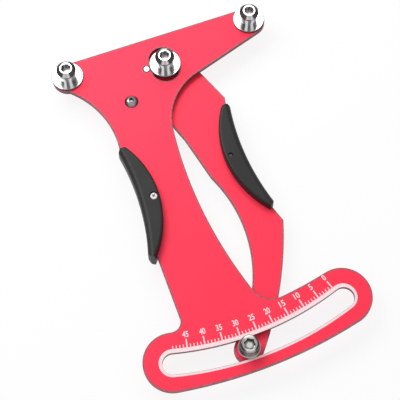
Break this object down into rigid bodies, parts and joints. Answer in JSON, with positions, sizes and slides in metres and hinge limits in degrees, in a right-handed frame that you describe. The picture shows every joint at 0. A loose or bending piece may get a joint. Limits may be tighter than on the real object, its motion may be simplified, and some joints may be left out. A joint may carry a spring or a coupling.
{
  "type": "spoke tension meter",
  "caption": "Hand tool for wheel spokes: a T-shaped plate with fixed posts and a curved scale, and a sprung lever behind it that carries the moving post and the pointer.",
  "frame": {"origin": "centre of the base of the part's bounding box, with the tool lying on its back and the printed face up", "axes": "+X from the plate's grip to the lever's grip, along the line of the two fixed posts; +Y from the scale to the posts; +Z out of the printed face, along the lever's hinge and all the posts"},
  "size_m": [0.1384, 0.2117, 0.0221],
  "materials": {
    "red_plate": "satin red anodised sheet",
    "red_lever": "satin red anodised sheet",
    "polished_steel": "polished",
    "stainless_steel": "turned",
    "dark_screw": "blackened, worn bright",
    "zinc_steel": "zinc plated",
    "black_grip": "satin black",
    "slip_ring": "smooth",
    "spring_steel": "drawn wire"
  },
  "bodies": {
    "frame": {"front_plate": "red_plate", "left_flange": "polished_steel", "left_post": "polished_steel", "left_nut": "zinc_steel", "right_flange": "polished_steel", "right_post": "polished_steel", "right_nut": "zinc_steel", "pivot_screw": "stainless_steel", "slip_washer": "slip_ring", "back_washer": "zinc_steel", "anchor_screw": "dark_screw", "anchor_pin": "zinc_steel", "return_spring": "spring_steel", "plate_grip_front": "black_grip", "plate_grip_back": "black_grip", "plate_grip_screws": "stainless_steel"},
    "lever": {"lever_plate": "red_lever", "moving_spacer": "zinc_steel", "moving_flange": "polished_steel", "moving_post": "polished_steel", "moving_nut": "zinc_steel", "lever_grip_front": "black_grip", "lever_grip_back": "black_grip", "lever_grip_screws": "stainless_steel", "pointer_screw": "stainless_steel", "pointer_sleeve": "zinc_steel", "pointer_nut": "zinc_steel", "ear_pin": "zinc_steel"}
  },
  "joints": [
    {"name": "lever_hinge", "type": "hinge", "parent": "frame", "child": "lever", "pos_m": [-0.00879, 0.08557, 0.0067], "axis": [0, 0, 1], "range_deg": [-13.5, 19.2], "stiffness_Nm_per_rad": 1.2, "springref_deg": 25.78, "deforming": ["return_spring"]}
  ]
}
